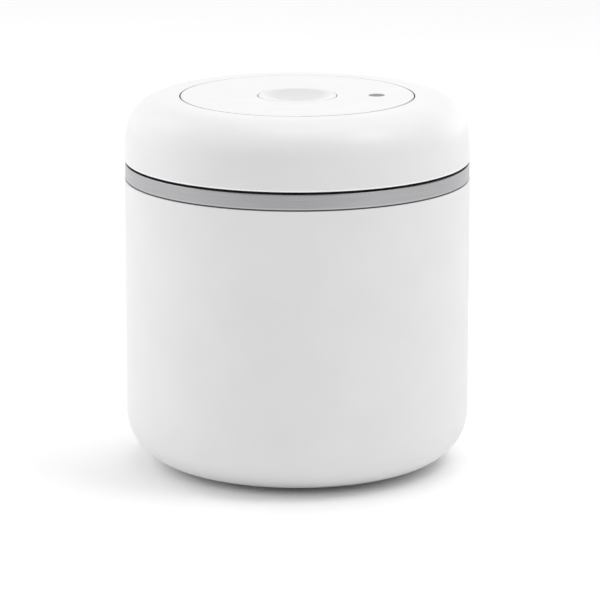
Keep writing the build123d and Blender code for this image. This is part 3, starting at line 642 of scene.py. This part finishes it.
def make_button():
    dish_half = button_radius - button_rim_width
    dish_radius = (dish_half ** 2 + button_dish_depth ** 2) / (2 * button_dish_depth)
    dish_centre = (0, total_height - button_dish_depth + dish_radius)
    dish_turn = math.degrees(math.asin(dish_half / dish_radius))
    dish = arc(dish_centre, dish_radius, -right_angle, dish_turn - right_angle, fine_arc_step)
    bottom = total_height - button_height
    ceiling = total_height - button_crown
    boss_bottom = ceiling - button_boss_height
    lip = corner_arc(dish[-2], dish[-1], (button_radius, total_height), button_lip_round)
    outline = [point for point in dish if point[0] < lip[0][0]] + lip
    outline += rounded([
        (dish_half + button_lip_round, total_height, 0),
        (button_radius, total_height, button_edge_round),
        (button_radius, bottom, button_edge_round),
        (button_radius - button_wall, bottom, button_edge_round),
        (button_radius - button_wall, ceiling, 0),
        (button_boss_radius, ceiling, 0),
        (button_boss_radius, boss_bottom, button_edge_round),
        (button_socket_radius, boss_bottom, 0),
        (button_socket_radius, boss_bottom + button_socket_depth, 0),
        (0, boss_bottom + button_socket_depth, 0),
    ])[1:]
    mesh = bmesh.new()
    turned(mesh, outline)
    # The button's side wall, down in its groove, gets painted shade
    side, side_top = button_radius - button_edge_round, total_height - button_edge_round
    paint_faces(mesh, 1, lambda across, height: across > side and height < side_top)
    make_piece("lid_button", mesh, "button", "button_plastic", ["release_button"], ["groove_painted_shade"])


def make_indicator():
    outline = rounded([
        (0, indicator_top, 0),
        (indicator_radius, indicator_top, indicator_edge_round),
        (indicator_radius, indicator_head_bottom, indicator_edge_round),
        (indicator_stem_radius, indicator_head_bottom, 0),
        (indicator_stem_radius, indicator_stem_bottom, 0),
        (0, indicator_stem_bottom, 0),
    ])
    mesh = bmesh.new()
    turned(mesh, outline, (indicator_circle, 0), small_turn_steps)
    make_piece("lid_dot", mesh, "indicator", "indicator_plastic", ["indicator_pin"])


def make_diaphragm():
    """The indicator's rubber disc: a held rim, a pad under the pin, and a web between them."""
    centre = (indicator_circle, 0)
    low, high = diaphragm_bottom, diaphragm_top
    rise = (high - low) / diaphragm_web_steps
    heights = [low + rise * index for index in range(diaphragm_web_steps + 1)]
    outlines = {
        "diaphragm_rim": [
            (diaphragm_rim_inner, low),
            (diaphragm_radius, low),
            (diaphragm_radius, high),
            (diaphragm_rim_inner, high),
        ],
        "diaphragm_pad": [(0, low), (diaphragm_pad_radius, low), (diaphragm_pad_radius, high), (0, high)],
        "diaphragm_web": [(diaphragm_web_outer, height) for height in heights]
        + [(diaphragm_web_inner, height) for height in reversed(heights)],
    }
    bodies = {"diaphragm_rim": "lid_core", "diaphragm_pad": "indicator", "diaphragm_web": None}
    for name, outline in outlines.items():
        mesh = bmesh.new()
        turned(mesh, outline, centre, small_turn_steps, closed=name != "diaphragm_pad")
        piece = make_piece(name, mesh, bodies[name], "grey_silicone", ["indicator_diaphragm"])
        if bodies[name] is None:
            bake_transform(piece)


# Seal, core and filter

def make_gasket():
    sleeve_bottom = collar_top - gasket_sleeve_depth
    corners = [
        (gasket_inner, collar_top, 0),
        (gasket_inner, gasket_flange_top, 0),
        (gasket_flange, gasket_flange_top, gasket_round),
        (gasket_flange, collar_top + gasket_rim_height, 0),
        (gasket_rim, collar_top + gasket_rim_height, gasket_round),
        (gasket_rim, collar_top, gasket_round),
        (gasket_sleeve, collar_top, gasket_round),
    ]
    for index in range(gasket_lip_count):
        middle = collar_top - gasket_sleeve_depth * (index + 1) / (gasket_lip_count + 1)
        corners += [
            (gasket_sleeve, middle + gasket_lip_half, gasket_round),
            (gasket_lip_radius, middle, gasket_round),
            (gasket_sleeve, middle - gasket_lip_half, gasket_round),
        ]
    corners += [
        (gasket_sleeve, sleeve_bottom, gasket_round),
        (gasket_inner, sleeve_bottom, gasket_round),
        (gasket_inner, collar_top, 0),
    ]
    mesh = bmesh.new()
    turned(mesh, rounded(corners)[:-1], closed=True)
    make_piece("lid_seal", mesh, "lid_core", "black_silicone", ["main_gasket"])


def smooth_copy(name, node, body, slot, angle=sharp_angle):
    """A copy of a CAD node's own form, smoothly shaded over its round faces."""
    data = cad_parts[node].data.copy()
    mesh = bmesh.new()
    mesh.from_mesh(data)
    bmesh.ops.remove_doubles(mesh, verts=mesh.verts, dist=nearly)
    piece = make_piece(name, mesh, body, slot, [node], angle=angle)
    weights = piece.modifiers.new("weights", "WEIGHTED_NORMAL")
    weights.keep_sharp = True
    return piece


def make_spring(name, node):
    """A coil spring, copied from its CAD form, with a mesh of its own."""
    piece = smooth_copy(name, node, "lid_core", "spring_steel")
    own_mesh(piece)


def mesh_wire_points(place, along_x, phase):
    """The wavy centreline of one wire of the filter's cloth."""
    reach = math.sqrt(mesh_radius ** 2 - place ** 2)
    count = max(2, round(2 * reach / mesh_pitch * mesh_steps_per_pitch))
    points = []
    for index in range(count + 1):
        along = -reach + 2 * reach * index / count
        height = mesh_middle + phase * mesh_wave * math.cos(math.pi * along / mesh_pitch)
        points.append((along, place, height) if along_x else (place, along, height))
    return points


def add_wire(mesh, points, along_x):
    rings = []
    for x, y, z in points:
        ring = []
        for index in range(wire_sides):
            turn = math.radians(full_turn * index / wire_sides)
            across, up = mesh_wire * math.cos(turn), mesh_wire * math.sin(turn)
            spot = (x, y + across, z + up) if along_x else (x + across, y, z + up)
            ring.append(mesh.verts.new(Vector(spot) * mm))
        rings.append(ring)
    for low, high in zip(rings, rings[1:]):
        join_rings(mesh, low, high, 0)
    for end in (rings[0], rings[-1]):
        mesh.faces.new(end)


def make_filter_cloth():
    """Woven wire cloth, its wires passing over and under by turns."""
    mesh = bmesh.new()
    half_count = math.floor(mesh_radius / mesh_pitch - 1 / 2)
    for along_x in (True, False):
        for index in range(-half_count, half_count + 1):
            phase = 1 if (index % 2 == 0) == along_x else -1
            add_wire(mesh, mesh_wire_points(index * mesh_pitch, along_x, phase), along_x)
    make_piece("filter_cloth", mesh, "lid_core", "mesh_steel", ["filter_mesh"])


def dress_hidden_nodes():
    """The pieces that keep their CAD form get a finish of their own."""
    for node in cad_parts.values():
        for holder in node.material_slots:
            holder.material = finishes[holder.material.name.split(".")[0]]


# Floor, light and camera

floor_reach = 3000.0
floor_drop = 0.02
floor_tones = (0.99, 0.995)
floor_noise = (12, 2.0)
floor_roughness = 0.8
floor_shine = 0.2

# Broad soft lobes of light, as (direction, narrowness, strength)
sky_lobes = [
    ((0.0, 0.9659, 0.2588), 6.0, 0.869),
    ((-0.9659, 0.0, 0.2588), 6.0, 1.91),
    ((0.8365, -0.4830, 0.2588), 6.0, 1.09),
    ((-0.3214, -0.5567, 0.7660), 6.0, 0.87),
    ((-0.7071, 0.7071, 0.0), 10.0, 1.504),
    ((0.7071, 0.7071, 0.0), 10.0, 2.133),
    ((0.5, 0.0, 0.8660), 16.0, 1.044),
    ((0.25, 0.4330, 0.8660), 16.0, 1.742),
    ((0.0, 0.0, 1.0), 16.0, 0.42),
    ((0.5, -0.8660, 0.05), 12.0, 0.06),
]

# Round lights aimed at the canister, as (name, place, diameter, power in watts)
softboxes = [
    ("overhead", (0.0, 0.0, 1300.0), 700.0, 1.74),
    ("back_left", (-900.0, 600.0, 900.0), 700.0, 1.88),
    ("front_right", (600.0, -200.0, 1000.0), 500.0, 2.53),
]

camera_place = (0.98, -1299.3, 367.2)
camera_pitch = 13.338
camera_lens = 219.5
camera_reach = 20.0
aim_height = 55.0


def make_floor():
    mesh = bmesh.new()
    corners = [(-1, -1), (1, -1), (1, 1), (-1, 1)]
    reach, drop = floor_reach * mm, floor_drop * mm
    mesh.faces.new([mesh.verts.new((x * reach, y * reach, -drop)) for x, y in corners])
    data = bpy.data.meshes.new("floor")
    mesh.to_mesh(data)
    mesh.free()
    finish = Finish("floor")
    finish.colour(finish.noise(*floor_noise), tone(floor_tones[0]), tone(floor_tones[1]))
    finish.shader.inputs["Roughness"].default_value = floor_roughness
    finish.shader.inputs["Specular IOR Level"].default_value = floor_shine
    data.materials.append(finish.material)
    floor = bpy.data.objects.new("floor", data)
    bpy.context.scene.collection.objects.link(floor)


def make_sky():
    """White light in broad soft lobes from some sides, and none between them."""
    world = bpy.data.worlds.new("studio")
    bpy.context.scene.world = world
    world.use_nodes = True
    nodes, links = world.node_tree.nodes, world.node_tree.links
    background = nodes["Background"]
    background.inputs["Color"].default_value = (1, 1, 1, 1)
    direction = nodes.new("ShaderNodeTexCoord").outputs["Generated"]
    total = None
    for middle, narrowness, strength in sky_lobes:
        facing = nodes.new("ShaderNodeVectorMath")
        facing.operation = "DOT_PRODUCT"
        facing.inputs[1].default_value = Vector(middle).normalized()
        links.new(direction, facing.inputs[0])
        front = nodes.new("ShaderNodeMath")
        front.operation = "MAXIMUM"
        front.inputs[1].default_value = 0.0
        links.new(facing.outputs["Value"], front.inputs[0])
        lobe = nodes.new("ShaderNodeMath")
        lobe.operation = "POWER"
        lobe.inputs[1].default_value = narrowness
        links.new(front.outputs["Value"], lobe.inputs[0])
        added = nodes.new("ShaderNodeMath")
        added.operation = "MULTIPLY_ADD"
        added.inputs[1].default_value = strength
        added.inputs[2].default_value = 0.0
        links.new(lobe.outputs["Value"], added.inputs[0])
        if total:
            links.new(total, added.inputs[2])
        total = added.outputs["Value"]
    links.new(total, background.inputs["Strength"])


def make_softboxes():
    for name, place, size, power in softboxes:
        data = bpy.data.lights.new(name, "AREA")
        data.shape = "DISK"
        data.size = size * mm
        data.energy = power
        light = bpy.data.objects.new(name, data)
        light.location = Vector(place) * mm
        light.rotation_mode = "QUATERNION"
        light.rotation_quaternion = (Vector((0, 0, aim_height)) - Vector(place)).to_track_quat("-Z", "Y")
        bpy.context.scene.collection.objects.link(light)


def make_camera():
    data = bpy.data.cameras.new("camera")
    data.lens = camera_lens
    data.clip_end = camera_reach
    camera = bpy.data.objects.new("camera", data)
    camera.location = Vector(camera_place) * mm
    camera.rotation_euler = (math.radians(right_angle - camera_pitch), 0, 0)
    bpy.context.scene.collection.objects.link(camera)
    bpy.context.scene.camera = camera


make_camera()
make_floor()
make_sky()
make_softboxes()
bpy.context.scene.view_settings.view_transform = "Standard"

dress_hidden_nodes()
make_shell()
make_collar()
make_foot()
make_ring()
make_disc()
make_button()
make_indicator()
make_diaphragm()
make_gasket()
smooth_copy("lid_cup", "core_housing", "lid_core", "white_plastic")
smooth_copy("filter_cover", "filter_plate", "lid_core", "grey_plastic")
make_spring("button_coil", "button_spring")
make_spring("indicator_coil", "indicator_spring")
make_filter_cloth()
